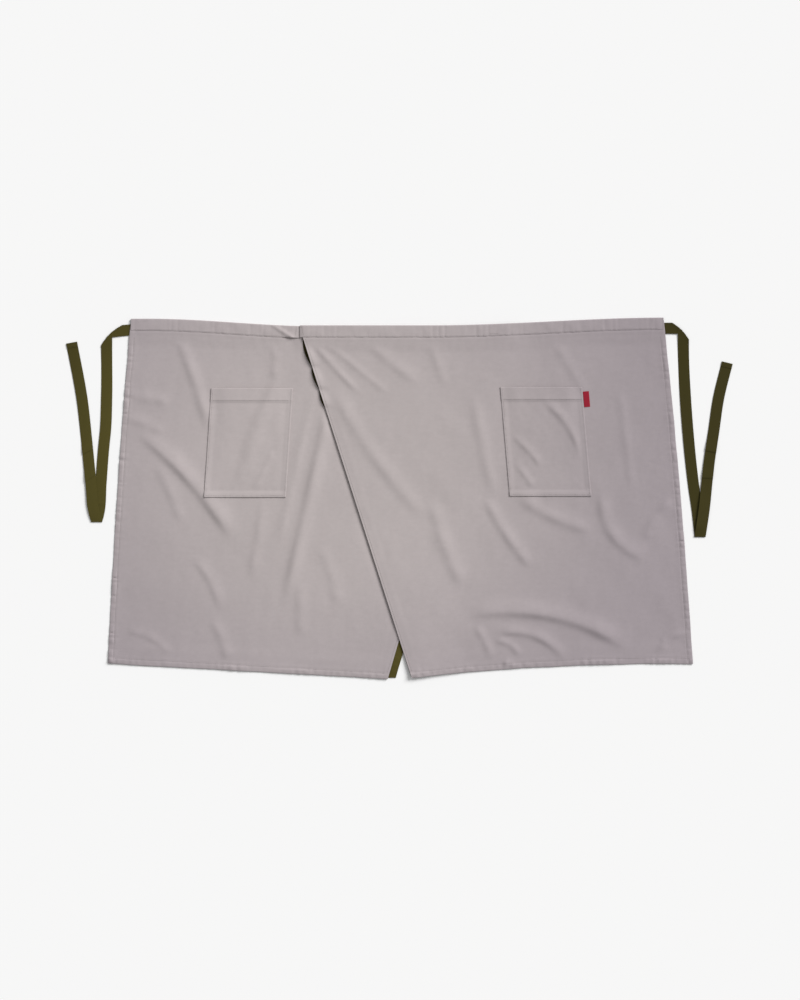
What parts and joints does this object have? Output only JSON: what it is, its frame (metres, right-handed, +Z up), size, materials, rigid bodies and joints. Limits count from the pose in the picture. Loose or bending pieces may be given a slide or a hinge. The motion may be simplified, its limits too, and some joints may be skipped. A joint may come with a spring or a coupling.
{
  "type": "split waist apron",
  "caption": "Split waist apron laid flat: two overlapping skirt panels on folded waistbands, patch pockets, taped inner edges, a plain side label and long tape ties.",
  "frame": {"origin": "on the surface that the apron lies on, under the middle of its cloth", "axes": "+X to the right across the front, +Y towards the waist, +Z up off the surface, out of the front face"},
  "size_m": [1.1995, 0.65, 0.0075],
  "materials": {
    "twill": "matte",
    "tape": "matte",
    "seam_thread": "matte",
    "tape_thread": "matte",
    "label": "matte"
  },
  "bodies": {
    "waist": {"left_waistband": "twill", "right_waistband": "twill", "left_panel_top": "twill", "right_panel_top": "twill", "left_tie_root": "tape", "right_tie_root": "tape", "left_band_seam": "seam_thread", "right_band_seam": "seam_thread", "left_band_end_tack": "seam_thread", "right_band_end_tack": "seam_thread", "covered_band_tack": "seam_thread"},
    "left_skirt": {"left_panel": "twill", "left_inner_tape": "tape", "left_pocket": "twill", "left_side_seam": "seam_thread", "left_bottom_seam": "seam_thread", "left_inner_seam": "seam_thread", "left_pocket_seam": "seam_thread", "left_pocket_mouth_seam": "seam_thread"},
    "right_skirt": {"right_panel": "twill", "right_inner_tape": "tape", "right_pocket": "twill", "right_side_seam": "seam_thread", "right_bottom_seam": "seam_thread", "right_inner_seam": "seam_thread", "right_pocket_seam": "seam_thread", "right_pocket_mouth_seam": "seam_thread"},
    "label_tab": {"side_label": "label"},
    "left_tie_tape": {"left_tie": "tape", "left_tie_end_hem": "tape", "left_tie_end_seam": "tape_thread"},
    "right_tie_tape": {"right_tie": "tape", "right_tie_end_hem": "tape", "right_tie_end_seam": "tape_thread"}
  },
  "joints": [
    {"name": "right_panel_lift", "type": "hinge", "parent": "waist", "child": "right_skirt", "pos_m": [0, 0.282, 0.0062], "axis": [-1, 0, 0], "range_deg": [0, 160]},
    {"name": "left_panel_lift", "type": "hinge", "parent": "waist", "child": "left_skirt", "pos_m": [0, 0.282, 0.0062], "axis": [-1, 0, 0], "range_deg": [0, 80]},
    {"name": "label_flip", "type": "hinge", "parent": "right_skirt", "child": "label_tab", "pos_m": [0.32941, 0.17809, 0.0013], "axis": [0.0864, -0.9963, 0], "range_deg": [0, 100]},
    {"name": "left_tie_swing", "type": "hinge", "parent": "waist", "child": "left_tie_tape", "pos_m": [-0.529, 0.3, 0.00105], "axis": [0, 0, -1], "range_deg": [0, 90]},
    {"name": "right_tie_swing", "type": "hinge", "parent": "waist", "child": "right_tie_tape", "pos_m": [0.509, 0.306, 0.00105], "axis": [0, 0, 1], "range_deg": [0, 90]}
  ],
  "couplings": [
    {"joint": "left_panel_lift", "follows": "right_panel_lift", "ratio": 0.5}
  ]
}
